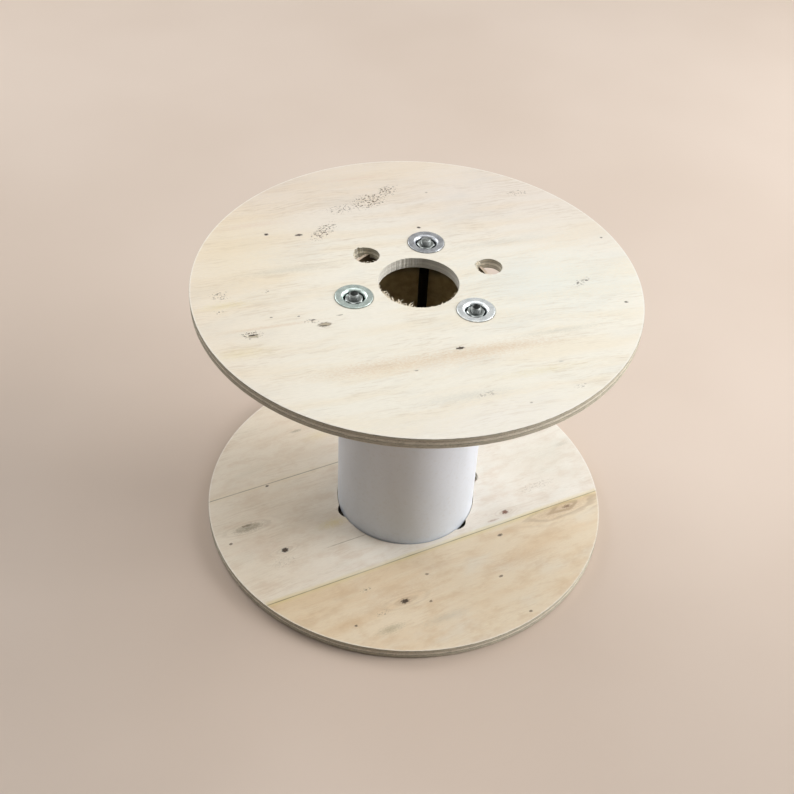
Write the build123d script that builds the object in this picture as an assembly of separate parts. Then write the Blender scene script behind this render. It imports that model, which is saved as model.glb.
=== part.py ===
from build123d import *
from math import cos, radians, sqrt, tan
import os

# A small plywood cable drum, standing on one end.
#
# Two round plywood flanges stand either side of a wound fibre tube, whose ends sit in ring grooves
# in the flanges. Three tie bolts inside the tube pull the flanges together. Each bolt has its head
# in a cup washer below and its nut in a cup washer above, both sunk into holes in the flanges.
#
# Millimetres. +Z runs up the drum's axis. The origin is on the axis, on the floor, which is the
# plane of the lower cup washers' rims. Angles round the drum are counted from +X.

# Flanges
flange_dia = 355.0
flange_thickness = 9.0
edge_break = 0.5
arbour_hole_dia = 63.5
traverse = 230.0

# Barrel, and the groove that each of its ends sits in
barrel_dia = 123.0
barrel_wall = 2.5
groove_depth = 2.5
groove_clearance = 0.6

# Drive hole and cable hole, drilled through each flange
drive_hole_dia = 20.5
drive_hole_radius = 53.3
drive_hole_angle = 144.0
cable_hole_dia = 20.5
cable_hole_radius = 61.8
cable_hole_angle = 26.0

# Tie bolts
bolt_count = 3
bolt_dia = 8.0
bolt_first_angle = 86.0
bolt_to_barrel = 0.5
bolt_stand_out = 4.4
bolt_end_chamfer = 1.0

# Hexagons of the nut and of the bolt's head
across_flats = 13.0
nut_height = 4.0
head_height = 5.3
hex_corner_slope = 30.0
hex_face_share = 0.95
nut_thread_clearance = 0.1

# Cup washers, pressed from sheet: flat rim, coned lip, tapered wall and flat floor
cup_sheet = 1.2
cup_rim_width = 4.6
cup_lip = 1.6
cup_draft = 0.4
cup_hex_clearance = 0.25
cup_bolt_clearance = 0.25
cup_bedding = 0.4
cup_bed_clearance = 0.3
cup_to_barrel = 0.3

# Sizes that follow from the ones above
flange_radius = flange_dia / 2
barrel_radius = barrel_dia / 2
barrel_inner_radius = barrel_radius - barrel_wall
bolt_radius = bolt_dia / 2
bolt_circle_radius = barrel_inner_radius - bolt_radius - bolt_to_barrel
hex_corner_radius = across_flats / 2 / cos(radians(30))
cup_bolt_hole_radius = bolt_radius + cup_bolt_clearance
cup_floor_inner = hex_corner_radius + cup_hex_clearance
cup_mouth_inner = cup_floor_inner + cup_draft
cup_bend = cup_sheet * (sqrt(2) - 1)
cup_hole_radius = cup_mouth_inner + cup_lip + cup_bend
cup_rim_radius = cup_hole_radius + cup_rim_width
cup_proud = cup_sheet - cup_bedding
cup_height = cup_proud + flange_thickness - groove_depth - cup_to_barrel
cup_depth = cup_height - cup_sheet

# Heights above the floor
lower_face_z = cup_proud
barrel_z = lower_face_z + flange_thickness - groove_depth
barrel_length = traverse + 2 * groove_depth
upper_face_z = lower_face_z + 2 * flange_thickness + traverse
drum_top_z = upper_face_z + cup_proud
head_z = cup_depth - head_height
nut_z = drum_top_z - cup_depth
bolt_end_z = nut_z + nut_height + bolt_stand_out


def at_angle(radius, angle):
    """The place at this distance from the axis and this angle round it."""
    return Rot(0, 0, angle) * Pos(radius, 0, 0)


def bolt_places():
    """The places of the tie bolts' axes."""
    step = 360 / bolt_count
    return [at_angle(bolt_circle_radius, bolt_first_angle + step * n) for n in range(bolt_count)]


def turned_over(piece):
    """The same piece at the drum's other end, mirrored about the middle of the drum's height."""
    return Pos(0, 0, drum_top_z) * mirror(piece, about=Plane.XY)


def turned(points):
    """A solid turned about the Z axis from the (radius, height) points of its half section."""
    section = make_face(Polyline(*points, close=True))
    return revolve(Plane.XZ * section, Axis.Z)


def top_flange():
    """Plywood disc with the arbour hole, the bolt holes, the washers' beds and the groove."""
    disc = extrude(Circle(flange_radius), flange_thickness)
    disc = chamfer(disc.edges(), edge_break)
    disc -= extrude(Circle(arbour_hole_dia / 2), flange_thickness)
    for place in bolt_places():
        disc -= place * extrude(Circle(cup_hole_radius), flange_thickness)
        disc -= place * washer_bed()
    drive_hole = extrude(Circle(drive_hole_dia / 2), flange_thickness)
    disc -= at_angle(drive_hole_radius, drive_hole_angle) * drive_hole
    cable_hole = extrude(Circle(cable_hole_dia / 2), flange_thickness)
    disc -= at_angle(cable_hole_radius, cable_hole_angle) * cable_hole
    disc -= barrel_groove()
    return Pos(0, 0, upper_face_z - flange_thickness) * disc


def washer_bed():
    """The shallow round dent in the flange's outer face that a washer's rim is pulled into."""
    bed = extrude(Circle(cup_rim_radius + cup_bed_clearance), cup_bedding)
    return Pos(0, 0, flange_thickness - cup_bedding) * bed


def barrel_groove():
    """The ring cut from the flange's inner face for the barrel's end."""
    ring = Circle(barrel_radius + groove_clearance)
    ring -= Circle(barrel_inner_radius - groove_clearance)
    return extrude(ring, groove_depth)


def barrel():
    """Fibre tube from one groove's floor to the other's."""
    wall = Circle(barrel_radius) - Circle(barrel_inner_radius)
    return Pos(0, 0, barrel_z) * extrude(wall, barrel_length)


def hexagon(height):
    """A hexagon standing on z = 0, with the corners of both its ends turned off."""
    face_radius = across_flats / 2 * hex_face_share
    blank_radius = hex_corner_radius + cup_hex_clearance
    drop = (blank_radius - face_radius) * tan(radians(hex_corner_slope))
    blank = [
        (0, 0),
        (face_radius, 0),
        (blank_radius, drop),
        (blank_radius, height - drop),
        (face_radius, height),
        (0, height),
    ]
    prism = extrude(RegularPolygon(hex_corner_radius, 6), height)
    return prism & turned(blank)


def tie_bolt():
    """Bolt on the Z axis, its head on the floor of the lower cup washer."""
    head = Pos(0, 0, head_z) * hexagon(head_height)
    shank = extrude(Circle(bolt_radius), bolt_end_z - cup_depth)
    shank = chamfer(shank.edges().sort_by(Axis.Z)[-1], bolt_end_chamfer)
    return head + Pos(0, 0, cup_depth) * shank


def nut():
    """Hexagon nut on the Z axis, on the floor of the upper cup washer."""
    bore = extrude(Circle(bolt_radius + nut_thread_clearance), nut_height)
    return Pos(0, 0, nut_z) * (hexagon(nut_height) - bore)


def top_cup_washer():
    """Cup washer on the Z axis, turned from its sheet's half section, at the top of the drum."""
    section = [
        (cup_bolt_hole_radius, -cup_depth),
        (cup_floor_inner, -cup_depth),
        (cup_mouth_inner, -cup_lip),
        (cup_mouth_inner + cup_lip, 0),
        (cup_rim_radius, 0),
        (cup_rim_radius, -cup_sheet),
        (cup_hole_radius, -cup_sheet),
        (cup_mouth_inner + cup_sheet, -cup_lip - cup_bend),
        (cup_floor_inner + cup_sheet, -cup_height),
        (cup_bolt_hole_radius, -cup_height),
    ]
    return Pos(0, 0, drum_top_z) * turned(section)


def drum_pieces():
    """Every piece of the drum, by name."""
    pieces = {
        "flange_top": top_flange(),
        "flange_bottom": turned_over(top_flange()),
        "barrel": barrel(),
    }
    for number, place in enumerate(bolt_places(), start=1):
        pieces[f"tie_bolt_{number}"] = place * tie_bolt()
        pieces[f"nut_{number}"] = place * nut()
        pieces[f"cup_washer_top_{number}"] = place * top_cup_washer()
        pieces[f"cup_washer_bottom_{number}"] = place * turned_over(top_cup_washer())
    return pieces


os.makedirs("parts", exist_ok=True)
for name, piece in drum_pieces().items():
    export_step(piece, f"parts/{name}.step")
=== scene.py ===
# %% [markdown]
# # A small plywood cable drum
#
# The drum stands on one end. Two round plywood flanges are pulled onto a wound fibre tube by three
# long tie bolts. Each bolt has its head in a cup washer below and its nut in one above.
#
# The CAD model is loaded first and never moved. It gives the sizes and places below, so a piece
# made here lands where its CAD solid stands.

# %% Load the frame
from math import cos, exp, pi, radians, sin, sqrt
import random

import bmesh
import bpy
from mathutils import Matrix, Vector


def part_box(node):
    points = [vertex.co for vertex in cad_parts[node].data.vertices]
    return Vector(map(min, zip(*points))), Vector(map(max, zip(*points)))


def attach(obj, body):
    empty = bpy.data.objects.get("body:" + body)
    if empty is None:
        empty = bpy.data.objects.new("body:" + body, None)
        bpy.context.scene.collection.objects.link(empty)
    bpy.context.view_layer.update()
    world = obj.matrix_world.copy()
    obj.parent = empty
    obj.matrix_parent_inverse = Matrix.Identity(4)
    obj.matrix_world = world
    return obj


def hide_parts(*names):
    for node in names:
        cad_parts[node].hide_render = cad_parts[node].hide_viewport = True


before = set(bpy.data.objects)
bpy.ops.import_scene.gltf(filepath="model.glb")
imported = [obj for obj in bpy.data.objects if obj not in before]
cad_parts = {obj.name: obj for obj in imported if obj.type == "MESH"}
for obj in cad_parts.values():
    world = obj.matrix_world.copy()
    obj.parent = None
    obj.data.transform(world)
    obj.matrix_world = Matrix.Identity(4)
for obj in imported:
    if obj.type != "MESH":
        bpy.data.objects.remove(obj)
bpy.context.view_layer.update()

# %% [markdown]
# Sizes come from the boxes round the CAD nodes. A round piece's radius is half its box's width,
# and a bolt's axis is the middle of its nut's box.

# %% Sizes read from the frame
MM = 0.001  # metres in a millimetre


def size_of(name):
    """The width, depth and height of a CAD node's box."""
    low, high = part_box(name)
    return high - low


def middle_of(name):
    """The middle of a CAD node's box."""
    low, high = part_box(name)
    return (low + high) / 2


flange_radius = min(size_of("flange_top").xy) / 2
flange_thickness = size_of("flange_top").z
upper_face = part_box("flange_top")[1].z
lower_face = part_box("flange_bottom")[0].z
barrel_radius = min(size_of("barrel").xy) / 2
washer_radius = min(size_of("cup_washer_top_1").xy) / 2
bolt_axes = [middle_of(f"nut_{number}").xy for number in (1, 2, 3)]
print("flange radius", round(flange_radius / MM, 2), "mm, bolts at", bolt_axes)

# %% [markdown]
# A few helpers keep the cells short. `node` adds one shader node and fills its sockets. `colour`
# takes a display colour, as a paint program shows it, and turns it into the linear light values
# that shaders work in. A Mapping node of the TEXTURE kind moves to a centre, turns, and divides by
# a size, so the noise after it can be read as so many millimetres long and wide.

# %% Shader helpers


def colour(red, green, blue):
    """A display colour, 0 to 255, as linear light."""
    return tuple(((c / 255 + 0.055) / 1.055) ** 2.4 for c in (red, green, blue)) + (1.0,)


def new_material(name):
    """A new material with its node tree, its shader's sockets and its Object coordinates."""
    material = bpy.data.materials.new(name)
    material.use_nodes = True
    tree = material.node_tree
    shader = tree.nodes["Principled BSDF"].inputs
    place = tree.nodes.new("ShaderNodeTexCoord").outputs["Object"]
    return material, tree, shader, place


def node(tree, kind, sockets, output=0, **settings):
    """Adds a shader node with its settings and sockets, and gives back one of its outputs."""
    made = tree.nodes.new(kind)
    for name, value in settings.items():
        setattr(made, name, value)
    for name, value in sockets.items():
        if isinstance(value, bpy.types.NodeSocket):
            tree.links.new(value, made.inputs[name])
        else:
            made.inputs[name].default_value = value
    return made.outputs[output]


def mix(tree, amount, under, over, blend="MIX"):
    """The colour `under`, changed to the colour `over` where the amount is 1."""
    sockets = {0: amount, 6: under, 7: over}
    return node(tree, "ShaderNodeMix", sockets, 2, data_type="RGBA", blend_type=blend)


def reckon(tree, operation, first, second=0.0, third=0.0):
    """One step of arithmetic on values."""
    sockets = {0: first, 1: second, 2: third}
    return node(tree, "ShaderNodeMath", sockets, operation=operation)


def times(tree, first, second):
    """Two values multiplied."""
    return reckon(tree, "MULTIPLY", first, second)


def ramp(tree, value, start, end):
    """0 where the value is at `start`, 1 where it is at `end`, and a smooth rise between."""
    sockets = {"Value": value, "From Min": start, "From Max": end}
    return node(tree, "ShaderNodeMapRange", sockets, interpolation_type="SMOOTHSTEP")


def laid_out(tree, place, size, turn=0.0, centre=(0.0, 0.0, 0.0)):
    """Coordinates from a centre in mm, turned by some degrees and divided by a size in mm."""
    sockets = {
        "Vector": place,
        "Location": [c * MM for c in centre],
        "Rotation": (0.0, 0.0, radians(turn)),
        "Scale": [s * MM for s in size],
    }
    return node(tree, "ShaderNodeMapping", sockets, vector_type="TEXTURE")


def noise(tree, place, detail=3.0, roughness=0.5):
    """Soft random values round 0.5, with lumps about one unit of the coordinates wide."""
    sockets = {"Vector": place, "Scale": 1.0, "Detail": detail, "Roughness": roughness}
    return node(tree, "ShaderNodeTexNoise", sockets)


def part_of(tree, place, letter):
    """One of the three coordinates: X, Y or Z."""
    return node(tree, "ShaderNodeSeparateXYZ", {0: place}, letter)


def length_of(tree, vector):
    """The length of a vector."""
    return node(tree, "ShaderNodeVectorMath", {0: vector}, "Value", operation="LENGTH")


def off_axis(tree, place):
    """How far a point is from the drum's axis, in metres."""
    flat = node(tree, "ShaderNodeVectorMath", {0: place, 1: (1.0, 1.0, 0.0)}, operation="MULTIPLY")
    return length_of(tree, flat)


def in_ellipse(tree, place, x, y, long, wide, turn=0.0):
    """Where a point is in an ellipse of sizes in mm: 0 at its centre and 1 on its outline."""
    return length_of(tree, laid_out(tree, place, (long / 2, wide / 2, 1e6), turn, (x, y, 0)))


def bumped(tree, shader, height, depth):
    """Gives the shader a bump from a height of 0 to 1, as deep as `depth` in mm."""
    sockets = {"Height": height, "Distance": depth * MM, "Strength": 1.0}
    tree.links.new(node(tree, "ShaderNodeBump", sockets), shader["Normal"])


def finished(tree, shader, tone, roughness, height, depth):
    """Gives the shader its colour, one roughness and a bump."""
    tree.links.new(tone, shader["Base Color"])
    shader["Roughness"].default_value = roughness
    bumped(tree, shader, height, depth)


# %% [markdown]
# ## Veneer
#
# The face of plywood is veneer: a thin sheet peeled off a log, so its grain shows as long soft
# streaks. Noise stretched along the grain gives them: wide bands, narrow streaks, short dashes and
# hair-fine fibres. One layer alone would look like smoke.

# %% Veneer grain
COOL = colour(226, 224, 214)


def waved(tree, place, size, lift):
    """Coordinates pushed about by a soft noise of one size, by `lift` metres at most."""
    sockets = {"Vector": laid_out(tree, place, (size, size, 1000)), "Scale": 1.0}
    push = node(tree, "ShaderNodeTexNoise", sockets, "Color")
    sockets = {0: push, 1: (lift, lift, 0.0), 2: place}
    return node(tree, "ShaderNodeVectorMath", sockets, operation="MULTIPLY_ADD")


def grain(tree, place, turn, pale, warm, dark, bands=0.55, streaks=0.5):
    """The veneer's colour and its height, from noises laid out along a gently waving grain."""
    along = waved(tree, waved(tree, place, 140, 0.02), 24, 0.004)
    band = noise(tree, laid_out(tree, along, (120, 13, 1000), turn), 3)
    cloud = noise(tree, laid_out(tree, along, (60, 26, 1000), turn + 5), 3)
    streak = noise(tree, laid_out(tree, along, (26, 2.0, 1000), turn), 3)
    dash = noise(tree, laid_out(tree, along, (8, 0.9, 1000), turn), 2)
    fibre = noise(tree, laid_out(tree, along, (4.5, 0.35, 1000), turn), 2)
    tone = mix(tree, times(tree, ramp(tree, band, 0.42, 0.66), bands), pale, warm)
    tone = mix(tree, times(tree, ramp(tree, cloud, 0.48, 0.75), 0.4), tone, COOL)
    patch = noise(tree, laid_out(tree, along, (48, 20, 1000), turn - 4), 3)
    here = times(tree, ramp(tree, patch, 0.4, 0.62), streaks)
    tone = mix(tree, times(tree, ramp(tree, streak, 0.48, 0.7), here), tone, dark)
    tone = mix(tree, times(tree, ramp(tree, dash, 0.54, 0.7), here), tone, dark)
    shade = reckon(tree, "MULTIPLY_ADD", fibre, 0.2, 0.9)
    tone = mix(tree, 1.0, tone, shade, "MULTIPLY")
    return tone, fibre


# %% [markdown]
# Knots, torn spots and specks sit at places of their own, so each is painted over the grain as a
# soft ellipse. One shared noise frays their edges. A painted image could hold them too, but nodes
# stay sharp at any distance and need no file.

# %% Marks on the veneer
KNOT = colour(62, 48, 34)
TORN = colour(182, 170, 146)
SPECK = colour(104, 84, 62)
TAN = colour(214, 186, 150)
PINK = colour(222, 198, 178)
YELLOW = colour(228, 212, 160)
GREY = colour(196, 192, 178)
FRAY = 1.4


def painted(tree, place, ground, turn, marks):
    """The ground colour with marks over it: (x, y, long, wide, soft, strength, colour), in mm."""
    fray = noise(tree, laid_out(tree, place, (2.0, 0.9, 1000), turn), 3)
    for x, y, long, wide, soft, strength, tint in marks:
        reach = in_ellipse(tree, place, x, y, long, wide, turn)
        frayed = reckon(tree, "MULTIPLY_ADD", fray, FRAY, reach)
        inside = ramp(tree, frayed, 1.0 + FRAY / 2, 1.0 + FRAY / 2 - soft)
        ground = mix(tree, times(tree, inside, strength), ground, tint)
    return ground


def speckled(tree, place, ground, turn, patches):
    """The ground colour with patches of dots: (x, y, long, wide, lean, strength), in mm."""
    dots = noise(tree, laid_out(tree, place, (1.9, 1.5, 1000), turn), 2, 0.7)
    for x, y, long, wide, lean, strength in patches:
        near = ramp(tree, in_ellipse(tree, place, x, y, long, wide, lean), 1.1, 0.3)
        least = reckon(tree, "MULTIPLY_ADD", near, -0.12, 0.66)
        dotted = ramp(tree, reckon(tree, "SUBTRACT", dots, least), 0.0, 0.05)
        amount = times(tree, times(tree, dotted, near), strength)
        ground = mix(tree, amount, ground, SPECK)
    return ground


# %% [markdown]
# The grain parts round a knot and closes again behind it, in long rings. A sine of the distance
# from the knot gives the rings, and a noise added to the distance bends them.

# %% Rings round a knot
RING = colour(150, 126, 98)
RING_TURNS = 24.0
RING_BEND = 16.0


def ringed(tree, place, ground, turn, knots):
    """The ground colour with bent rings round knots: (x, y, long, wide, strength), in mm."""
    bend = noise(tree, laid_out(tree, place, (44, 12, 1000), turn), 2)
    for x, y, long, wide, strength in knots:
        reach = in_ellipse(tree, place, x, y, long, wide, turn)
        phase = reckon(tree, "MULTIPLY_ADD", reach, RING_TURNS, times(tree, bend, RING_BEND))
        ring = ramp(tree, reckon(tree, "SINE", phase), -0.4, 1.0)
        near = times(tree, ramp(tree, reach, 1.0, 0.0), strength)
        ground = mix(tree, times(tree, ring, near), ground, RING)
    return ground


# %% [markdown]
# The veneer's edge is rubbed bare and a little frayed all round the rim, and its arris catches the
# light, so it looks paler there: partly wear, partly a painted highlight. The distance from the
# drum's axis tells how near the rim a point is.

# %% Rubbed rim and painted highlight


def rim_wear_and_highlight(tree, place, ground):
    """The ground colour, paler within a hair of the flange's rim: partly wear, partly a painted
    highlight.
    """
    fray = noise(tree, laid_out(tree, place, (3.0, 3.0, 1000)), 3)
    ragged = reckon(tree, "MULTIPLY_ADD", fray, 1.6 * MM, off_axis(tree, place))
    wear_and_highlight = ramp(tree, ragged, flange_radius - 0.9 * MM, flange_radius + 0.3 * MM)
    return mix(tree, times(tree, wear_and_highlight, 0.5), ground, colour(252, 248, 240))


# %% [markdown]
# A fine dark line of painted shadow runs round each cup washer, where its rim meets the veneer.
# The distance from the bolt's axis places it.

# %% Painted shadow round the washers


def shadowed_washer_rims(tree, place, ground):
    """The ground colour with a fine line of painted shadow round each washer's rim."""
    edge = washer_radius / MM
    for axis in bolt_axes:
        # Painted shadow: a dark ring just outside each washer's rim.
        reach = in_ellipse(tree, place, axis.x / MM, axis.y / MM, 2.0, 2.0)
        line = times(tree, ramp(tree, reach, edge + 1.0, edge + 0.2), 0.6)
        ground = mix(tree, line, ground, colour(104, 100, 88))
    return ground


# %% [markdown]
# The upper flange's face is one sheet of pale veneer, with its grain nearly across the picture. A
# long tan band and a few grey and pink ones run along the grain under the small marks. Bands and
# marks are rows of one table each, so a new one is a new row. A mark lies at x and y from the
# drum's axis, with the grain along its length.

# %% Marks of the upper face
UPPER_TURN = 19.0

# x, y, length, width, softness, strength, colour
UPPER_BANDS = [
    # The two wide bands at the left and the back are partly the veneer's warmer colour and partly
    # painted shade, where the light falls off.
    (-150, 30, 150, 220, 1.3, 0.55, colour(238, 222, 190)),
    (-40, 150, 320, 90, 1.3, 0.6, colour(232, 216, 192)),
    (150, 100, 160, 90, 1.3, 0.35, colour(232, 224, 206)),
    (105, 15, 260, 150, 1.4, 0.75, colour(231, 234, 226)),
    (60, -150, 240, 70, 1.3, 0.5, colour(242, 236, 228)),
    (25, -90, 220, 36, 1.4, 0.6, colour(232, 210, 180)),
    (-30, -106, 130, 20, 1.3, 0.5, TAN),
    (62, -74, 150, 18, 1.4, 0.6, TAN),
    (95, -96, 120, 14, 1.4, 0.35, YELLOW),
    (110, -48, 110, 8, 1.2, 0.4, GREY),
    (-140, 62, 90, 12, 1.3, 0.4, PINK),
    (-60, 143, 90, 8, 1.2, 0.45, PINK),
    (-100, 6, 130, 16, 1.3, 0.4, GREY),
    (-145, -46, 60, 14, 1.3, 0.5, YELLOW),
    (-105, -66, 110, 5, 1.0, 0.35, TAN),
    (-125, -100, 70, 22, 1.3, 0.4, YELLOW),
    (40, -130, 110, 16, 1.3, 0.35, GREY),
    (60, 60, 140, 14, 1.3, 0.3, GREY),
]
UPPER_MARKS = [
    (33.6, -77.2, 8, 3.4, 0.4, 1.0, KNOT),
    (-118.8, -79.4, 12, 5, 0.7, 1.0, TORN),
    (-119.5, -78, 8, 2.2, 0.5, 1.0, KNOT),
    (-68, -60, 12, 6.6, 0.4, 0.8, SPECK),
    (-68, -60, 9, 4.6, 0.4, 0.9, TORN),
    (-69.5, -61.8, 8, 1.6, 0.4, 0.9, KNOT),
    (-77.8, -55.6, 6, 1.8, 0.5, 0.9, KNOT),
    (-88.5, -52.2, 3, 1.4, 0.5, 0.8, KNOT),
    (-108.7, -55.8, 2.6, 1.6, 0.5, 0.8, KNOT),
    (-57.8, -47.4, 6, 1.8, 0.6, 0.6, SPECK),
    (-99.7, 53.1, 8, 3.4, 0.5, 1.0, KNOT),
    (-125.8, 50.8, 4.2, 3.8, 0.5, 1.0, KNOT),
    (-2.9, 75.1, 4, 3.4, 0.5, 1.0, KNOT),
    (162.8, -7.7, 4, 3, 0.5, 0.9, KNOT),
    (148.8, 78.3, 2.6, 2.2, 0.5, 0.8, KNOT),
    (126, 13, 3, 2.2, 0.5, 0.9, KNOT),
    (133, 17.5, 4, 2.2, 0.5, 0.9, KNOT),
    (2.3, -105.9, 4.5, 2, 0.6, 0.6, SPECK),
    (108.5, -84.9, 6, 2.4, 0.7, 0.6, GREY),
    (1.5, 128.3, 3, 2.2, 0.5, 0.5, SPECK),
    (85, -132.5, 3, 2, 0.5, 0.5, SPECK),
]

# x, y, length, width, lean in degrees, strength
UPPER_PATCHES = [
    (-47, 109, 56, 30, 35, 1.0),
    (-33, 126, 34, 20, 50, 1.0),
    (-80, 61, 44, 20, 60, 1.0),
    (-70, 94, 34, 18, 20, 0.8),
    (-151, -34, 20, 17, 20, 0.8),
    (-148.4, -53.9, 10, 7, 20, 0.9),
    (-116.5, -24.1, 9, 6, 20, 0.7),
    (-78, -57, 20, 7, 10, 0.9),
    (-120, -78, 26, 13, 10, 1.0),
    (128.7, 15.5, 26, 12, 40, 0.6),
    (80.1, 137.8, 30, 14, 20, 0.5),
    (53.9, -126.2, 24, 9, 25, 0.4),
    (122.8, -110, 18, 8, 30, 0.4),
]
print("upper face:", len(UPPER_BANDS + UPPER_MARKS + UPPER_PATCHES), "marks")

# %% [markdown]
# The face's colours go on one over another: the grain, two slow tints, the bands, the flecks, the
# marks, and last the painted shadow lines round the washers and the pale rim, which is partly wear
# and partly a painted highlight. The tints are painted shade, where the light falls off: they make
# the sheet a little darker towards its back and browner towards its left.

# %% Upper face
upper_veneer, tree, shader, place = new_material("upper_veneer")
tone, height = grain(
    tree, place, UPPER_TURN,
    colour(243, 237, 222), colour(240, 228, 204), colour(206, 190, 164), 0.55, 0.36,
)
# Painted shade: two slow tints darken the sheet towards its back and its left, where the light
# falls off.
shade_to_back = ramp(tree, part_of(tree, place, "Y"), 0.0, 150 * MM)
shade_to_left = ramp(tree, part_of(tree, place, "X"), -30 * MM, -180 * MM)
tone = mix(tree, shade_to_back, tone, colour(240, 235, 237), "MULTIPLY")
tone = mix(tree, shade_to_left, tone, colour(250, 243, 237), "MULTIPLY")
tone = painted(tree, place, tone, UPPER_TURN, UPPER_BANDS)
tone = speckled(tree, place, tone, UPPER_TURN, UPPER_PATCHES)
tone = painted(tree, place, tone, UPPER_TURN, UPPER_MARKS)
tone = shadowed_washer_rims(tree, place, tone)
tone = rim_wear_and_highlight(tree, place, tone)
finished(tree, shader, tone, 0.62, height, 0.12)
print("upper_veneer:", len(tree.nodes), "nodes")

# %% [markdown]
# The lower flange's face is three strips of veneer laid side by side, and the near one is browner.
# Its tables of marks are laid out like the upper face's.

# %% Marks of the lower face
LOWER_TURN = 29.0
LOWER_BANDS = [
    (5.5, -116, 96, 38, 1.4, 0.42, colour(204, 172, 134)),
    (110, -66, 110, 26, 1.4, 0.45, colour(206, 174, 136)),
    (-40, -152, 60, 22, 1.3, 0.4, colour(208, 176, 136)),
    (138, -9, 90, 22, 1.3, 0.6, colour(178, 150, 118)),
    (40, -140, 60, 14, 1.3, 0.5, GREY),
    # Painted shade: this wide band darkens the back-left, where the upper flange shades the face.
    (-90, 100, 230, 130, 1.4, 0.4, colour(224, 204, 178)),
    (-130, -20, 120, 50, 1.4, 0.3, colour(224, 208, 184)),
    (-62, -42, 44, 16, 1.3, 0.75, YELLOW),
    (-85, 70, 50, 18, 1.3, 0.4, YELLOW),
    (-120, -75, 80, 34, 1.3, 0.3, PINK),
    (125, 60, 170, 130, 1.4, 0.5, colour(222, 219, 203)),
]
LOWER_MARKS = [
    (5.5, -125.4, 16, 10, 1.0, 0.5, colour(150, 116, 80)),
    (5.5, -125.4, 9, 5.5, 0.5, 1.0, KNOT),
    (-101.1, -77.2, 14, 10, 1.0, 0.4, GREY),
    (-101.1, -77.2, 8.5, 6, 0.5, 1.0, KNOT),
    (91.2, -15.7, 8, 6, 0.6, 0.9, colour(112, 66, 48)),
    (80, -27, 16, 3, 0.9, 0.5, colour(150, 100, 76)),
    (86.4, -44, 6, 3.4, 0.5, 0.8, KNOT),
    (148, -3.5, 13, 5, 0.8, 0.8, colour(122, 94, 66)),
    (23, -94.4, 4, 3, 0.5, 0.7, SPECK),
    (86.9, -91.5, 5, 3, 0.5, 0.8, SPECK),
    (27.4, -123.7, 3.6, 2.8, 0.5, 0.8, SPECK),
    (-33.6, -154.8, 3.6, 2.8, 0.5, 0.8, KNOT),
    (-135.4, -54.3, 40, 13, 1.1, 0.8, colour(150, 140, 116)),
    (-138, -52, 14, 4, 0.8, 0.7, colour(116, 104, 82)),
    (-107.8, 72.9, 16, 5, 0.9, 0.6, colour(158, 148, 124)),
    (-4.7, -155.7, 36, 12, 1.1, 0.6, colour(164, 152, 122)),
    (146.2, 78.3, 22, 7, 1.1, 0.5, GREY),
    (-126.1, -1.9, 4, 3, 0.5, 0.9, KNOT),
    (-148.4, -74.2, 3.6, 3, 0.5, 0.8, SPECK),
    (111.9, -127.8, 4, 3, 0.5, 0.8, SPECK),
    (-48, -62, 50, 1.1, 0.3, 0.5, colour(150, 138, 112)),
]

# x, y, length, width, strength
NEAR_RINGS = [
    (146, -5, 140, 34, 0.6),
    (5.5, -125.4, 80, 26, 0.22),
]
FAR_RINGS = [
    (91.2, -15.7, 40, 16, 0.22),
    (-101.1, -77.2, 50, 18, 0.2),
    (-135, -54, 80, 24, 0.3),
]
LOWER_PATCHES = [
    (-28, -116, 14, 8, 30, 0.8),
    (-100, -90, 40, 20, 30, 0.2),
    (-12, -140, 20, 9, 30, 0.5),
    (120, 20, 60, 14, 30, 0.3),
]
print("lower face:", len(LOWER_BANDS + LOWER_MARKS + LOWER_PATCHES), "marks")

# %% [markdown]
# The two seams run straight along the grain. Measured across the grain, a seam is a distance from
# the drum's axis, so the near strip's colour starts at that distance. A yellow tint and a thin
# dark line follow each seam, and a noise makes both uneven.

# %% Lower face
NEAR_SEAM, FAR_SEAM = -69.0, 61.7

lower_veneer, tree, shader, place = new_material("lower_veneer")
pale_tone, height = grain(
    tree, place, LOWER_TURN,
    colour(240, 235, 225), colour(232, 222, 208), colour(200, 186, 166), 0.5, 0.25,
)
near_tone, _ = grain(
    tree, place, LOWER_TURN,
    colour(231, 216, 190), colour(224, 201, 168), colour(204, 178, 146), 0.6, 0.25,
)
blotch = noise(tree, laid_out(tree, place, (30, 15, 1000), LOWER_TURN), 4, 0.65)
blotched = times(tree, ramp(tree, blotch, 0.45, 0.7), 0.42)
pale_tone = mix(tree, blotched, pale_tone, colour(214, 196, 176))
near_tone = mix(tree, blotched, near_tone, colour(206, 176, 138))
pale_tone = ringed(tree, place, pale_tone, LOWER_TURN, FAR_RINGS)
near_tone = ringed(tree, place, near_tone, LOWER_TURN, NEAR_RINGS)
across = part_of(tree, laid_out(tree, place, (1, 1, 1), LOWER_TURN), "Y")
is_near = ramp(tree, across, NEAR_SEAM + 0.3, NEAR_SEAM - 0.3)
tone = mix(tree, is_near, pale_tone, near_tone)
uneven = noise(tree, laid_out(tree, place, (40, 40, 1000)), 3)
for seam, glue in ((NEAR_SEAM, 0.9), (FAR_SEAM, 0.2)):
    away = reckon(tree, "ABSOLUTE", reckon(tree, "SUBTRACT", across, seam))
    tint = times(tree, ramp(tree, away, 5.0, 0.5), times(tree, uneven, glue))
    tone = mix(tree, tint, tone, colour(222, 208, 150))
    line = times(tree, ramp(tree, away, 0.65, 0.25), uneven)
    tone = mix(tree, line, tone, colour(88, 72, 56))
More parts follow.
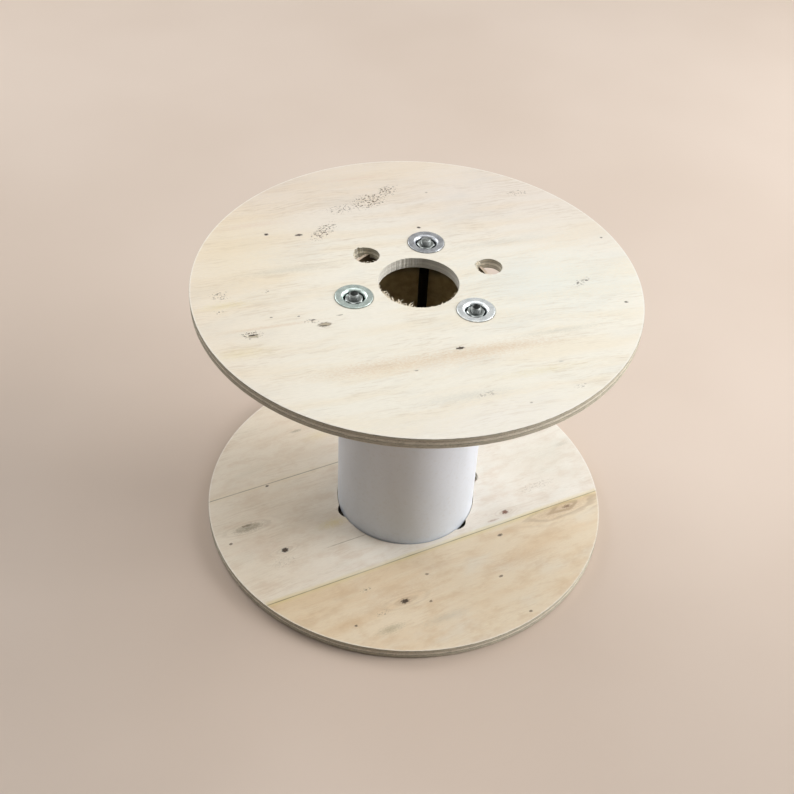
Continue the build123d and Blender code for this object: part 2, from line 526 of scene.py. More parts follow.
# Painted shade: the face is darker towards its left, where the upper flange shades it.
shade_to_left = ramp(tree, part_of(tree, place, "X"), 0.0, -120 * MM)
tone = mix(tree, shade_to_left, tone, colour(254, 248, 238), "MULTIPLY")
tone = painted(tree, place, tone, LOWER_TURN, LOWER_BANDS)
tone = speckled(tree, place, tone, LOWER_TURN, LOWER_PATCHES)
tone = painted(tree, place, tone, LOWER_TURN, LOWER_MARKS)
tone = rim_wear_and_highlight(tree, place, tone)
finished(tree, shader, tone, 0.62, height, 0.12)
print("lower_veneer:", len(tree.nodes), "nodes")

# %% [markdown]
# The two faces that look down have the same kind of veneer. They need no marks of their own, so the
# grain alone is enough.

# %% Plain veneer
plain_veneer, tree, shader, place = new_material("plain_veneer")
tone, height = grain(
    tree, place, 4.0, colour(232, 218, 194), colour(222, 202, 170), colour(196, 172, 138)
)
finished(tree, shader, tone, 0.65, height, 0.12)
print("plain_veneer:", len(tree.nodes), "nodes")

# %% [markdown]
# ## Plywood edge
#
# A saw cut through plywood shows its plies: thin face veneers and three thick cores. The grain of
# each ply crosses its neighbour's, so every second one shows darker end grain. The ply is read
# from the height above the flange's underside. Noise squashed flat gives the saw's marks, and
# makes the glue lines wander. The arbour hole's wall looks paler than the rim, so it is lifted.

# %% Plywood edge
PLIES = (0.6, 2.6, 2.6, 2.6, 0.6)
PLY_TONES = (
    colour(236, 230, 214),
    colour(206, 199, 180),
    colour(236, 230, 214),
    colour(202, 194, 175),
    colour(246, 242, 230),
)
GLUE = colour(120, 110, 92)
GLUE_WANDER = 0.9


def ply_edge(name, bottom):
    """The cut edge of one flange, whose underside is at the height `bottom`."""
    material, tree, shader, place = new_material(name)
    scratch = noise(tree, laid_out(tree, place, (5, 5, 0.5)), 4, 0.6)
    pore = noise(tree, laid_out(tree, place, (1.4, 1.4, 0.7)), 2)
    height = part_of(tree, place, "Z")
    above = reckon(tree, "SUBTRACT", height, bottom)
    wavy = reckon(tree, "MULTIPLY_ADD", scratch, GLUE_WANDER * MM, above)
    tone = PLY_TONES[0]
    glue_line = GLUE_WANDER / 2
    for thick, ply_tone in zip(PLIES, PLY_TONES[1:]):
        glue_line += thick
        away = reckon(tree, "ABSOLUTE", reckon(tree, "SUBTRACT", wavy, glue_line * MM))
        over = ramp(tree, wavy, (glue_line - 0.12) * MM, (glue_line + 0.12) * MM)
        tone = mix(tree, over, tone, ply_tone)
        line = times(tree, ramp(tree, away, 0.35 * MM, 0.1 * MM), 0.5)
        tone = mix(tree, line, tone, GLUE)
    tone = mix(tree, 1.0, tone, reckon(tree, "MULTIPLY_ADD", scratch, 1.3, 0.34), "MULTIPLY")
    tone = mix(tree, times(tree, ramp(tree, pore, 0.55, 0.75), 0.4), tone, KNOT)
    in_hole = ramp(tree, off_axis(tree, place), 42 * MM, 37 * MM)
    tone = mix(tree, times(tree, in_hole, 0.62), tone, colour(255, 250, 240))
    finished(tree, shader, tone, 0.8, scratch, 0.5)
    return material


upper_edge = ply_edge("upper_edge", upper_face - flange_thickness)
lower_edge = ply_edge("lower_edge", lower_face)
print("plies:", PLIES)

# %% [markdown]
# ## Mesh helpers
#
# Most of the drum is round, so most pieces are turned: a half section is drawn as a few points and
# spun about an axis. A corner is rounded as one point of the section, before the spin, which
# leaves the rest of the piece alone. `make` turns the mesh into an object, sets it on the drum,
# and hides the CAD nodes it stands for.

# %% Mesh helpers


def turn_on_lathe(bm, section, axis=(0.0, 0.0), steps=64, rounded=()):
    """Spins a closed half section of (radius, height) points about an upright axis."""
    corners = [bm.verts.new((axis[0] + radius, axis[1], height)) for radius, height in section]
    on_axis = [radius == 0.0 for radius, height in section]
    for number in range(len(corners)):
        if not (on_axis[number - 1] and on_axis[number]):
            bm.edges.new((corners[number - 1], corners[number]))
    before = set(bm.faces)
    for corner, offset in rounded:
        bmesh.ops.bevel(
            bm, geom=[corners[corner]], affect="VERTICES", offset=offset, offset_type="OFFSET",
            segments=5, profile=0.5, material=-1,
        )
    wire = [edge for edge in bm.edges if not edge.link_faces]
    points = list({vert for edge in wire for vert in edge.verts})
    bmesh.ops.spin(
        bm, geom=points + wire, cent=(axis[0], axis[1], 0.0), axis=(0.0, 0.0, 1.0),
        dvec=(0.0, 0.0, 0.0), angle=2 * pi, steps=steps, use_merge=True, use_duplicate=False,
    )
    made = [face for face in bm.faces if face not in before]
    verts = list({vert for face in made for vert in face.verts})
    bmesh.ops.remove_doubles(bm, verts=verts, dist=0.001 * MM)


def make(name, bm, materials, stands_for=(), sharp=35.0):
    """An object from a bmesh: normals outward, soft shading, on the drum, for its CAD nodes."""
    bmesh.ops.recalc_face_normals(bm, faces=bm.faces)
    mesh = bpy.data.meshes.new(name)
    bm.to_mesh(mesh)
    bm.free()
    for material in materials:
        mesh.materials.append(material)
    mesh.shade_smooth()
    mesh.set_sharp_from_angle(angle=radians(sharp))
    piece = bpy.data.objects.new(name, mesh)
    bpy.context.scene.collection.objects.link(piece)
    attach(piece, "root")
    if stands_for:
        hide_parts(*stands_for)
    print(name, len(mesh.polygons), "faces")


def cut(bm, cutter_bm, operation="DIFFERENCE"):
    """The first bmesh with the second cut out of it, or what both share for INTERSECT."""
    made = []
    for part in (bm, cutter_bm):
        mesh = bpy.data.meshes.new("cutting")
        bmesh.ops.recalc_face_normals(part, faces=part.faces)
        part.to_mesh(mesh)
        part.free()
        piece = bpy.data.objects.new("cutting", mesh)
        bpy.context.scene.collection.objects.link(piece)
        made.append(piece)
    blank, cutter = made
    boolean = blank.modifiers.new("cut", "BOOLEAN")
    boolean.operation = operation
    boolean.solver = "EXACT"
    boolean.object = cutter
    graph = bpy.context.evaluated_depsgraph_get()
    result = bmesh.new()
    result.from_mesh(blank.evaluated_get(graph).to_mesh())
    for piece in made:
        mesh = piece.data
        bpy.data.objects.remove(piece)
        bpy.data.meshes.remove(mesh)
    return result


# %% [markdown]
# ## Flanges
#
# A flange is turned as a solid disc with the ring groove in its inner face, then drilled. At the
# rim each ply stands a hair further in or out than the next, as it does after sawing.

# %% Flange blank
PLY_INSETS = (0.25, 0.05, 0.3, 0.1, 0.2)
BARREL_WALL = 2.5 * MM
GROOVE_DEPTH = 2.5 * MM
GROOVE_CLEARANCE = 0.6 * MM


def flange_blank():
    """The disc before drilling, with its outer face up at the height 0."""
    groove_in = barrel_radius - BARREL_WALL - GROOVE_CLEARANCE
    groove_out = barrel_radius + GROOVE_CLEARANCE
    section = [(0.0, 0.0)]
    height = 0.0
    for thick, inset in zip(PLIES, PLY_INSETS):
        section.append((flange_radius - inset * MM, height))
        height -= thick * MM
        section.append((flange_radius - inset * MM, height))
    section += [
        (groove_out, height),
        (groove_out, height + GROOVE_DEPTH),
        (groove_in, height + GROOVE_DEPTH),
        (groove_in, height),
        (0.0, height),
    ]
    bm = bmesh.new()
    turn_on_lathe(bm, section, steps=256)
    return bm


# %% [markdown]
# All the holes are cut out in one go. Each of a drill's corners moves in or out by a random hair,
# and its angle seeds the draw, so its two ends move alike. On the torn side the end in the outer
# face moves out further. The holes for the washers are stepped, with a shallow bed for the rim.

# %% Drills
ARBOUR_RADIUS = 31.75 * MM
BOLT_HOLE_RADIUS = 10.6 * MM
BED_RADIUS = washer_radius + 0.2 * MM
BED_DEPTH = 0.4 * MM
SIDE_HOLE_RADIUS = 10.25 * MM

# distance from the drum's axis, angle round it, and the angle of the torn side
SIDE_HOLES = {"drive": (53.3 * MM, 144.0, 225.0), "cable": (61.8 * MM, 26.0, 195.0)}
TORN_SPREAD = radians(26)


def polar(radius, angle):
    """The point at this distance from the drum's axis and this many degrees round it."""
    return Vector((radius * cos(radians(angle)), radius * sin(radians(angle))))


def drill(bm, centre, radius, steps, rough, torn_at, torn):
    """Adds a drill to the cutter, through the disc, with a rough wall torn out at one angle."""
    place = Matrix.Translation((centre[0], centre[1], -flange_thickness / 2))
    made = bmesh.ops.create_cone(
        bm, cap_ends=True, segments=steps, radius1=radius, radius2=radius,
        depth=flange_thickness * 2, matrix=place,
    )
    for vert in made["verts"]:
        out = vert.co.xy - Vector(centre)
        out_angle = -out.angle_signed(Vector((1, 0)))
        random.seed(round(out_angle * 1000))
        wider = 0.3 + random.uniform(-1, 1) * rough
        if vert.co.z > -flange_thickness / 2:
            off = (out_angle - radians(torn_at) + pi) % (2 * pi) - pi
            wider += torn * random.uniform(0.2, 1.0) * exp(-((off / TORN_SPREAD) ** 2))
        vert.co.xy = Vector(centre) + out * (1 + wider * MM / radius)


def flange_cutter():
    """All that is drilled out of a flange."""
    bm = bmesh.new()
    drill(bm, (0.0, 0.0), ARBOUR_RADIUS, 240, 0.04, 245.0, 1.4)
    for radius, angle, torn_at in SIDE_HOLES.values():
        drill(bm, polar(radius, angle), SIDE_HOLE_RADIUS, 90, 0.06, torn_at, 3.2)
    for axis in bolt_axes:
        stepped = [
            (0.0, 5 * MM),
            (BED_RADIUS, 5 * MM),
            (BED_RADIUS, -BED_DEPTH),
            (BOLT_HOLE_RADIUS, -BED_DEPTH),
            (BOLT_HOLE_RADIUS, -2 * flange_thickness),
            (0.0, -2 * flange_thickness),
        ]
        turn_on_lathe(bm, stepped, axis, 64)
    return bm


# %% [markdown]
# Each flange is cut, put in its place and given its three materials. A face belongs to the upper
# or the lower veneer when it looks that way and lies near that side, and to the cut edge when not.

# %% Flanges


def flange(name, up_material, down_material, edge_material, turned_over):
    """One drilled flange in its place, with a material for each face and for the cut edge."""
    bm = cut(flange_blank(), flange_cutter())
    if turned_over:
        bmesh.ops.scale(bm, vec=(1, 1, -1), verts=bm.verts)
        bmesh.ops.reverse_faces(bm, faces=bm.faces)
    outer_face = lower_face if turned_over else upper_face
    bmesh.ops.translate(bm, vec=(0, 0, outer_face), verts=bm.verts)
    bm.normal_update()
    top_of_disc = lower_face + flange_thickness if turned_over else upper_face
    for face in bm.faces:
        below_top = top_of_disc - face.calc_center_median().z
        if face.normal.z > 0.7 and below_top < 0.5 * MM:
            face.material_index = 0
        elif face.normal.z < -0.7 and below_top > flange_thickness - 0.5 * MM:
            face.material_index = 1
        else:
            face.material_index = 2
    materials = [up_material, down_material, edge_material]
    make(name, bm, materials, [name.replace("ply", "flange")])


flange("ply_top", upper_veneer, plain_veneer, upper_edge, False)
flange("ply_bottom", lower_veneer, plain_veneer, lower_edge, True)

# %% [markdown]
# ## Torn fibres
#
# Where a hole saw leaves the sheet it lifts splinters, and they stay on the rim of the hole. Each
# splinter is a thin strip that tapers to a point, made from a cone of four sides pressed flat.
# They differ in length, lean and turn, and they are crowded where the tool tore most.

# %% Torn fibres
fibre_wood, tree, shader, place = new_material("fibre_wood")
streak = noise(tree, laid_out(tree, place, (1.5, 0.4, 2.0), UPPER_TURN), 3)
tone = mix(tree, ramp(tree, streak, 0.35, 0.65), colour(206, 186, 150), colour(250, 242, 224))
finished(tree, shader, tone, 0.8, streak, 0.1)


def splinter(bm, root, heading, rise, length, width):
    """A strip from its root along a heading in degrees, rising by some degrees, to a point."""
    made = bmesh.ops.create_cone(
        bm, cap_ends=True, segments=4, radius1=width / 2, radius2=width / 12, depth=length,
    )
    verts = made["verts"]
    bmesh.ops.translate(bm, vec=(0, 0, length / 2), verts=verts)
    bmesh.ops.scale(bm, vec=(0.3, 1, 1), verts=verts)
    turn = Matrix.Rotation(radians(heading), 4, "Z") @ Matrix.Rotation(radians(90 - rise), 4, "Y")
    bmesh.ops.transform(bm, matrix=Matrix.Translation(root) @ turn, verts=verts)


def torn_rim(bm, centre, radius, first, last, count, longest):
    """Splinters on a hole's rim between two angles, leaning over the hole along the grain."""
    for _ in range(count):
        angle = random.uniform(first, last)
        root = Vector(centre) + polar(radius + 1.0 * MM, angle)
        height = upper_face - random.uniform(0.3, 0.9) * MM
        heading = angle + 180 + random.uniform(-60, 60)
        length = random.uniform(0.4, 1.0) ** 2 * longest * MM
        width = random.uniform(0.5, 1.4) * MM
        rise = random.uniform(-20, 6)
        splinter(bm, (root.x, root.y, height), heading, rise, length, width)


random.seed(11)
bm = bmesh.new()
torn_rim(bm, (0, 0), ARBOUR_RADIUS, 208, 262, 90, 9.0)
torn_rim(bm, (0, 0), ARBOUR_RADIUS, 190, 345, 150, 3.8)
drive_centre = polar(*SIDE_HOLES["drive"][:2])
cable_centre = polar(*SIDE_HOLES["cable"][:2])
torn_rim(bm, drive_centre, SIDE_HOLE_RADIUS, 150, 330, 44, 4.6)
torn_rim(bm, cable_centre, SIDE_HOLE_RADIUS, 140, 290, 40, 4.4)
make("torn_fibres", bm, [fibre_wood])

# %% [markdown]
# ## Barrel
#
# The barrel is a wound fibre tube with a smooth white outside. Noise at two scales marks the
# white: wide soft smudges, and a faint mottle.

# %% White outside
tube_white, tree, shader, place = new_material("tube_white")
smudge = noise(tree, laid_out(tree, place, (26, 26, 90)), 3)
mottle = noise(tree, laid_out(tree, place, (3, 3, 3)), 4)
tone = mix(tree, ramp(tree, smudge, 0.4, 0.75), colour(227, 234, 245), colour(221, 228, 238))
mottled = times(tree, ramp(tree, mottle, 0.5, 0.8), 0.25)
tone = mix(tree, mottled, tone, colour(204, 204, 204))
tree.links.new(tone, shader["Base Color"])
tree.links.new(reckon(tree, "MULTIPLY_ADD", smudge, 0.15, 0.45), shader["Roughness"])
bumped(tree, shader, mottle, 0.05)
print("tube_white:", len(tree.nodes), "nodes")

# %% [markdown]
# Inside, the tube is brown, and its cut ends show the pale layers. The photo shows the inside dark
# under the drive hole, so it is tinted darker near its upper end.

# %% Brown inside and cut ends
barrel_low, barrel_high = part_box("barrel")[0].z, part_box("barrel")[1].z

tube_brown, tree, shader, place = new_material("tube_brown")
paper = noise(tree, laid_out(tree, place, (6, 6, 6)), 5, 0.6)
tone = mix(tree, ramp(tree, paper, 0.35, 0.7), colour(232, 214, 174), colour(208, 186, 142))
height = part_of(tree, place, "Z")
# Painted shade: the inside is darkened near its upper end, under the upper flange.
shade_under_flange = ramp(tree, height, barrel_high - 32 * MM, barrel_high - 18 * MM)
tone = mix(tree, shade_under_flange, tone, colour(92, 76, 56))
finished(tree, shader, tone, 0.85, paper, 0.15)

tube_end, tree, shader, place = new_material("tube_end")
layer = noise(tree, laid_out(tree, place, (1.2, 1.2, 1.2)), 4, 0.6)
tone = mix(tree, ramp(tree, layer, 0.35, 0.7), colour(240, 224, 206), colour(214, 190, 164))
finished(tree, shader, tone, 0.9, layer, 0.25)
print("tube_end:", len(tree.nodes), "nodes")

# %% [markdown]
# The tube is turned from its wall's rectangle. Its corners get a hair of rounding, so the cut ends
# catch the light. A face's direction tells the ends from the walls, and its distance from the axis
# tells the outside from the inside.

# %% Barrel
bm = bmesh.new()
wall = [
    (barrel_radius, barrel_low),
    (barrel_radius, barrel_high),
    (barrel_radius - BARREL_WALL, barrel_high),
    (barrel_radius - BARREL_WALL, barrel_low),
]
turn_on_lathe(bm, wall, steps=192, rounded=[(corner, 0.3 * MM) for corner in range(4)])
bm.normal_update()
for face in bm.faces:
    middle = face.calc_center_median()
    if abs(face.normal.z) > 0.5:
        face.material_index = 2
    else:
        face.material_index = 0 if middle.xy.length > barrel_radius - BARREL_WALL / 2 else 1
make("fibre_tube", bm, [tube_white, tube_brown, tube_end], ["barrel"])

# %% [markdown]
# ## Zinc plate
#
# Washers, nuts and bolts are zinc plated. Zinc is a crystal film, so its shine is uneven: a noise
# varies the tone and the roughness, which moves the highlights about, and a finer one adds grime.
# The cups and the bolts inside the tube look dark, so painted shade thickens with depth. The
# three washers differ in brightness, so each has its own tone: lit and shaded copies of one zinc,
# which is painted light and shade.

# %% Zinc


def zinc(name, bright, dull, roughness, grime, lit_above, shaded_below, depth_shade):
    """Patchy zinc plate. Painted shade thickens between two heights in mm over the upper flange's
    face.
    """
    material, tree, shader, place = new_material(name)
    patch = noise(tree, laid_out(tree, place, (4, 4, 4)), 4, 0.6)
    fine = noise(tree, laid_out(tree, place, (0.7, 0.7, 0.7)), 3, 0.6)
    tone = mix(tree, ramp(tree, patch, 0.38, 0.66), bright, dull)
    grimy = times(tree, ramp(tree, fine, 0.52, 0.74), grime)
    tone = mix(tree, grimy, tone, colour(92, 86, 76))
    height = part_of(tree, place, "Z")
    # Painted shade: the metal is darkened below a height, in the cups and inside the flanges and
    # tube.
    depth_shade_mask = ramp(tree, height, upper_face + lit_above * MM, upper_face + shaded_below * MM)
    tone = mix(tree, times(tree, depth_shade_mask, depth_shade), tone, colour(42, 40, 36))
    tree.links.new(tone, shader["Base Color"])
    tree.links.new(reckon(tree, "MULTIPLY_ADD", patch, 0.3, roughness), shader["Roughness"])
    shader["Metallic"].default_value = 1.0
    bumped(tree, shader, fine, 0.03)
    print(name, len(tree.nodes), "nodes")
    return material


# Painted light and shade: each washer gets a lighter or darker copy of one zinc, for how bright it
# shows where it stands.
WASHER_LIT_TONES = [
    (colour(186, 190, 195), colour(148, 151, 157)),
    (colour(200, 214, 210), colour(164, 178, 174)),
    (colour(238, 243, 245), colour(202, 209, 212)),
]
washer_zincs = [
    zinc(f"washer_zinc_{number}", bright, dull, 0.13, 0.3, -0.2, -4.0, 0.75)
    for number, (bright, dull) in enumerate(WASHER_LIT_TONES, start=1)
]
washer_shade_dark = zinc(
    "washer_shade_dark", colour(70, 68, 64), colour(44, 42, 40), 0.5, 0.6, -0.2, -4.0, 0.5
)
nut_zinc = zinc(
    "nut_zinc", colour(170, 176, 174), colour(122, 127, 126), 0.18, 0.5, -1.4, -3.2, 0.9
)
bolt_zinc = zinc(
    "bolt_zinc", colour(146, 150, 149), colour(100, 104, 103), 0.34, 0.5, 0.5, -6.0, 1.0
)

# %% [markdown]
# ## Cup washers
#
# A cup washer is pressed from sheet steel. Seen in section, the sheet runs in along the flat rim,
# rolls over the lip, goes down the wall and turns in along the floor to the bolt's hole. The
# section's corners are rounded before it is turned, the floor's bend more outside than inside.

# %% Washer section
SHEET = 1.2 * MM
LIP = 1.6 * MM
RIM_WIDTH = 4.6 * MM
WALL_TAPER = 0.4 * MM
WASHER_BORE = 4.25 * MM
BEND = SHEET * (sqrt(2) - 1)
washer_height = size_of("cup_washer_top_1").z
mouth_radius = washer_radius - RIM_WIDTH - LIP - BEND
floor_radius = mouth_radius - WALL_TAPER


def cup_section():
    """The sheet's half section, with its rim's top at the height 0."""
    return [
        (WASHER_BORE, -washer_height + SHEET),
        (floor_radius, -washer_height + SHEET),
        (mouth_radius, -LIP),
        (mouth_radius + LIP, 0.0),
        (washer_radius, 0.0),
        (washer_radius, -SHEET),
        (mouth_radius + LIP + BEND, -SHEET),
        (mouth_radius + SHEET, -LIP - BEND),
        (floor_radius + SHEET, -washer_height),
        (WASHER_BORE, -washer_height),
    ]


# corner of the section, and how far its bend reaches along the edges
BENDS = [
    (1, 0.9 * MM), (2, 0.9 * MM), (3, 0.9 * MM),
    (4, 0.45 * MM), (5, 0.45 * MM), (8, 1.6 * MM),
]
print("washer:", round(2 * washer_radius / MM, 2), "x", round(washer_height / MM, 2), "mm")

# %% [markdown]
# The faces on a cup's outer side and underside get a second, dark material, which is painted
# shade: they look dark at the barrel's foot.

# %% Cup washers


def cup_washer(name, axis, plating, turned_over):
    """One pressed cup washer, its rim at the drum's end, turned over for the lower end."""
    bm = bmesh.new()
    turn_on_lathe(bm, cup_section(), axis, 64, BENDS)
    if turned_over:
        bmesh.ops.scale(bm, vec=(1, 1, -1), verts=bm.verts)
    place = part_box(name)[0].z if turned_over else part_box(name)[1].z
    bmesh.ops.translate(bm, vec=(0, 0, place), verts=bm.verts)
    bmesh.ops.recalc_face_normals(bm, faces=bm.faces)
    to_middle = 1 if turned_over else -1
    for face in bm.faces:
        middle = face.calc_center_median()
        outward = face.normal.xy.dot(middle.xy - axis) > 0.3 * (middle.xy - axis).length
        hidden_floor = face.normal.z * to_middle > 0.3
        if (outward or hidden_floor) and abs(middle.z - place) > SHEET:
            face.material_index = 1
    make(name.replace("cup_washer", "cup"), bm, [plating, washer_shade_dark], [name])


for number, (axis, plating) in enumerate(zip(bolt_axes, washer_zincs), start=1):
    cup_washer(f"cup_washer_top_{number}", axis, plating, False)
    cup_washer(f"cup_washer_bottom_{number}", axis, plating, True)

# %% [markdown]
# ## Tie bolts and nuts
#
# A hexagon is a six-sided cylinder. Real ones are turned after they are cut, which takes the
# corners off in a cone, so the hexagon is intersected with a turned blank of that shape.

# %% Hexagons
ACROSS_FLATS = 13.0 * MM
CORNER_RADIUS = ACROSS_FLATS / 2 / cos(radians(30))
FACE_SHARE = 0.95
CORNER_SLOPE = 0.577


def hexagon(axis, low, high, turn):
    """A hexagon between two heights, with the corners of both its ends turned off."""
    height = high - low
    face_radius = ACROSS_FLATS / 2 * FACE_SHARE
    drop = (CORNER_RADIUS - face_radius) * CORNER_SLOPE
    blank = bmesh.new()
    outline = [
        (0.0, low),
        (face_radius, low),
        (CORNER_RADIUS + 0.1 * MM, low + drop),
        (CORNER_RADIUS + 0.1 * MM, high - drop),
        (face_radius, high),
        (0.0, high),
    ]
    turn_on_lathe(blank, outline, axis, 72)
    prism = bmesh.new()
    place = Matrix.Translation((axis[0], axis[1], (low + high) / 2))
    bmesh.ops.create_cone(
        prism, cap_ends=True, segments=6, radius1=CORNER_RADIUS, radius2=CORNER_RADIUS,
        depth=height, matrix=place @ Matrix.Rotation(radians(turn), 4, "Z"),
    )
    upright = [
        edge for edge in prism.edges
        if abs((edge.verts[0].co - edge.verts[1].co).z) > height / 2
    ]
    bmesh.ops.bevel(
        prism, geom=upright, affect="EDGES", offset=0.15 * MM, segments=2, profile=0.5, material=-1,
    )
    return cut(prism, blank, "INTERSECT")


# %% [markdown]
# A thread is one tooth of its section, turned and lifted by one pitch for each turn. The screw's
# two ends are then cut level with a plane and closed, and a blank with a coned end chamfers it.

# %% Threads
SHANK_RADIUS = 4.0 * MM
THREAD_PITCH = 1.25 * MM
THREAD_DEPTH = 0.68 * MM
THREAD_STEPS = 32


def threaded_rod(axis, low, high):
    """A screw between two heights, with a chamfered upper end."""
    bm = bmesh.new()
    root, crest = SHANK_RADIUS - THREAD_DEPTH, SHANK_RADIUS
    tooth = [(root, 0.0), (root, 0.12), (crest, 0.42), (crest, 0.58), (root, 0.88), (root, 1.0)]
    start = low - THREAD_PITCH
    points = [
        bm.verts.new((axis[0] + radius, axis[1], start + share * THREAD_PITCH))
        for radius, share in tooth
    ]
    edges = [bm.edges.new(pair) for pair in zip(points, points[1:])]
    turns = int((high - low) / THREAD_PITCH) + 3
    bmesh.ops.spin(
        bm, geom=points + edges, cent=(axis[0], axis[1], 0.0), axis=(0.0, 0.0, 1.0),
        dvec=(0.0, 0.0, THREAD_PITCH / THREAD_STEPS), angle=2 * pi * turns,
        steps=THREAD_STEPS * turns, use_merge=False, use_duplicate=False,
    )
    bmesh.ops.remove_doubles(bm, verts=bm.verts, dist=0.002 * MM)
    for height, up in ((low, False), (high, True)):
        sliced = bmesh.ops.bisect_plane(
            bm, geom=bm.verts[:] + bm.edges[:] + bm.faces[:], plane_co=(0, 0, height),
            plane_no=(0, 0, 1), clear_outer=up, clear_inner=not up,
        )
        rim = [item for item in sliced["geom_cut"] if isinstance(item, bmesh.types.BMEdge)]
        bmesh.ops.holes_fill(bm, edges=rim, sides=0)
    blank = bmesh.new()
    outline = [
        (0.0, low - 1 * MM),
        (SHANK_RADIUS + 0.2 * MM, low - 1 * MM),
        (SHANK_RADIUS + 0.2 * MM, high - 1.2 * MM),
        (SHANK_RADIUS - 0.9 * MM, high),
        (0.0, high),
    ]
    turn_on_lathe(blank, outline, axis, 48)
    return cut(bm, blank, "INTERSECT")


# %% [markdown]
# Each bolt is a hexagon head, a plain shank and a threaded end, which stands a little out of its
# nut.

# %% Tie bolts
HEAD_HEIGHT = 5.3 * MM
THREAD_LENGTH = 32 * MM


def joined(parts):
    """One bmesh from several closed solids."""
    bm = bmesh.new()
    for part in parts:
        mesh = bpy.data.meshes.new("part")
        bmesh.ops.recalc_face_normals(part, faces=part.faces)
        part.to_mesh(mesh)
        part.free()
        bm.from_mesh(mesh)
        bpy.data.meshes.remove(mesh)
    return bm


def tie_bolt(number, axis, turn):
    """One tie bolt, with its head turned by some degrees."""
    bolt_low, bolt_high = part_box(f"tie_bolt_{number}")[0].z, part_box(f"tie_bolt_{number}")[1].z
    head_top = bolt_low + HEAD_HEIGHT
    thread_low = bolt_high - THREAD_LENGTH
    head = hexagon(axis, bolt_low, head_top, turn)
    shank = bmesh.new()
    shank_outline = [
        (0.0, head_top),
        (SHANK_RADIUS, head_top),
        (SHANK_RADIUS, thread_low),
        (0.0, thread_low),
    ]
    turn_on_lathe(shank, shank_outline, axis, 32)
    thread = threaded_rod(axis, thread_low, bolt_high)
    bolt = joined([head, shank, thread])
    make(f"bolt_{number}", bolt, [bolt_zinc], [f"tie_bolt_{number}"], 25.0)


# %% [markdown]
# A nut is a hexagon with a round bore that clears the bolt, opened by a short cone at its top. The
# thread inside a nut can't be seen with a bolt in it, so it is left out.

# %% Nuts


def hex_nut(number, axis, turn):
    """One hexagon nut, turned by some degrees."""
    nut_low, nut_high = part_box(f"nut_{number}")[0].z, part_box(f"nut_{number}")[1].z
    bore = bmesh.new()
    bore_outline = [
        (0.0, nut_low - 1 * MM),
        (SHANK_RADIUS + 0.1 * MM, nut_low - 1 * MM),
        (SHANK_RADIUS + 0.1 * MM, nut_high - 0.5 * MM),
        (SHANK_RADIUS + 0.9 * MM, nut_high + 0.3 * MM),
        (0.0, nut_high + 0.3 * MM),
    ]
    turn_on_lathe(bore, bore_outline, axis, 48)
    nut = cut(hexagon(axis, nut_low, nut_high, turn), bore)
    make(f"hex_nut_{number}", nut, [nut_zinc], [f"nut_{number}"], 25.0)


# %% [markdown]
# A nut stops wherever it is tight, so each hexagon has its own turn.

# %% Bolts and nuts in place
HEX_TURNS = (12.0, 41.0, 25.0)
NUT_FROM_HEAD = 17

for number, (axis, turn) in enumerate(zip(bolt_axes, HEX_TURNS), start=1):
    tie_bolt(number, axis, turn)
    hex_nut(number, axis, turn + NUT_FROM_HEAD)

# %% [markdown]
# ## Floor, light and camera
#
# The drum stands on a plain pale floor. Far from the drum the lights no longer reach the floor, so
# there the camera sees a flat backdrop colour in its place, and the world behind has the same
# colour. Only camera rays see it, so it puts no light on the drum.

# %% Floor
FLOOR_REACH = 12.0
floor_pale, tree, shader, place = new_material("floor_pale")
cloudy = noise(tree, laid_out(tree, place, (500, 500, 500)), 3)
tone = mix(tree, ramp(tree, cloudy, 0.3, 0.7), colour(218, 202, 188), colour(210, 193, 178))
tree.links.new(tone, shader["Base Color"])
shader["Roughness"].default_value = 0.9

BACKDROP = colour(229, 213, 198)
from_drum = length_of(tree, place)
by_camera = tree.nodes.new("ShaderNodeLightPath").outputs["Is Camera Ray"]
far_off = times(tree, ramp(tree, from_drum, 1.2, 2.2), by_camera)
lit = tree.nodes["Principled BSDF"].outputs[0]
flat_colour = node(tree, "ShaderNodeEmission", {"Color": BACKDROP})
surface = node(tree, "ShaderNodeMixShader", {0: far_off, 1: lit, 2: flat_colour})
tree.links.new(surface, tree.nodes["Material Output"].inputs["Surface"])

bm = bmesh.new()
bmesh.ops.create_grid(bm, x_segments=1, y_segments=1, size=FLOOR_REACH)
mesh = bpy.data.meshes.new("floor")
bm.to_mesh(mesh)
bm.free()
mesh.materials.append(floor_pale)
floor = bpy.data.objects.new("floor", mesh)
bpy.context.scene.collection.objects.link(floor)
print("floor_pale:", len(tree.nodes), "nodes")

# %% [markdown]
# Six square lights make a soft studio: the strongest stands to the right, two stand behind, and
# little comes from the left, which leaves the barrel's left side in shade.

# %% Lights


def softbox(name, place, size, watts):
    """A square area light that faces the middle of the drum."""
    light = bpy.data.lights.new(name, "AREA")
    light.shape = "SQUARE"
    light.size = size
    light.energy = watts
    lamp = bpy.data.objects.new(name, light)
    lamp.location = place
    towards_drum = Vector((0, 0, 0.12)) - Vector(place)
    lamp.rotation_euler = towards_drum.to_track_quat("-Z", "Y").to_euler()
    bpy.context.scene.collection.objects.link(lamp)


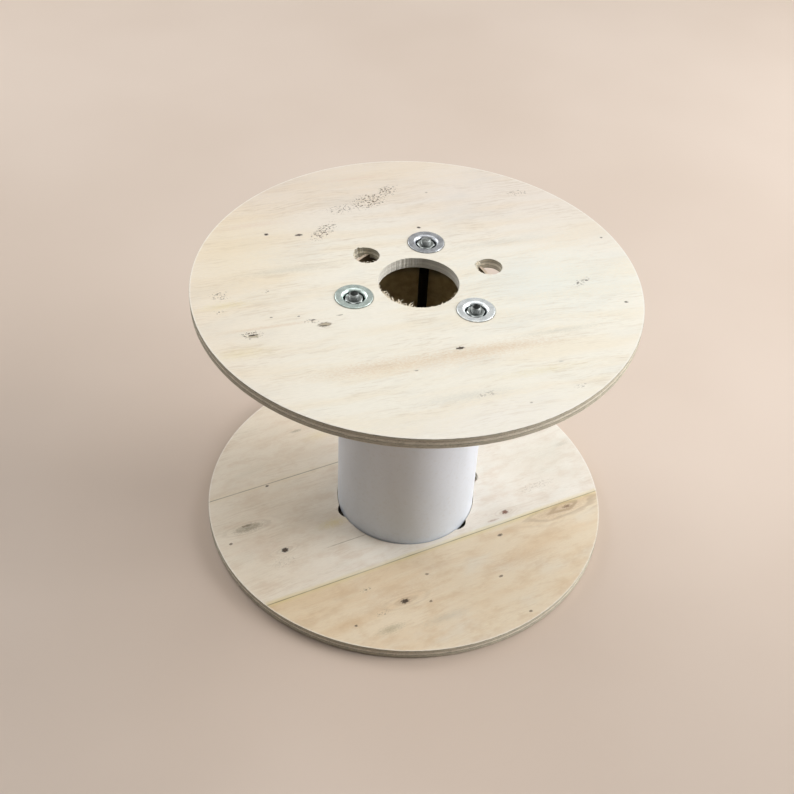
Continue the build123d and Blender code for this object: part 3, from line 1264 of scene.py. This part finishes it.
softbox("overhead", (0.0, 0.0, 2.4), 2.2, 18)
softbox("key_right", (1.9, 0.0, 1.35), 1.2, 29)
softbox("low_right", (2.1, 0.0, 0.6), 0.9, 15.5)
softbox("back_right", (1.34, 1.34, 1.35), 1.2, 14)
softbox("back_left", (-1.34, 1.34, 1.35), 1.2, 18)
softbox("left", (-1.9, 0.0, 1.35), 1.2, 5)
print("lights:", len(bpy.data.lights))

# %% [markdown]
# The world lights almost nothing. It is bright only to mirror rays, so that the zinc has something
# to show, and to camera rays, which see the backdrop colour.

# %% World
world = bpy.data.worlds.new("studio")
world.use_nodes = True
tree = world.node_tree
sky = tree.nodes["Background"].inputs
path = tree.nodes.new("ShaderNodeLightPath").outputs
tree.links.new(mix(tree, path["Is Camera Ray"], (1.0, 0.97, 0.93, 1.0), BACKDROP), sky["Color"])
mirrored = reckon(tree, "MULTIPLY_ADD", path["Is Glossy Ray"], 0.7, 0.01)
seen = reckon(tree, "MULTIPLY_ADD", path["Is Camera Ray"], 0.99, mirrored)
tree.links.new(seen, sky["Strength"])
bpy.context.scene.world = world
print("world:", len(tree.nodes), "nodes")

# %% [markdown]
# The camera looks down on the drum and is rolled a few degrees, as a hand-held one is. The fit to
# the photo also needed a small lens shift, as a picture that is cropped off centre does.

# %% Camera
CAMERA_PLACE = Vector((0.0, -0.80358, 0.84783))
CAMERA_AIM = Vector((0.01877, -0.0463, 0.125))
CAMERA_ROLL = 4.627

camera_data = bpy.data.cameras.new("camera")
camera_data.sensor_width = 36.0
camera_data.lens = 57.556
camera_data.shift_x = -0.04358
camera_data.shift_y = 0.05233
camera = bpy.data.objects.new("camera", camera_data)
camera.location = CAMERA_PLACE
level = (CAMERA_AIM - CAMERA_PLACE).to_track_quat("-Z", "Y").to_matrix()
camera.rotation_euler = (level @ Matrix.Rotation(radians(CAMERA_ROLL), 3, "Z")).to_euler()
bpy.context.scene.collection.objects.link(camera)
bpy.context.scene.camera = camera
bpy.context.scene.view_settings.view_transform = "Standard"
print("camera at", CAMERA_PLACE)
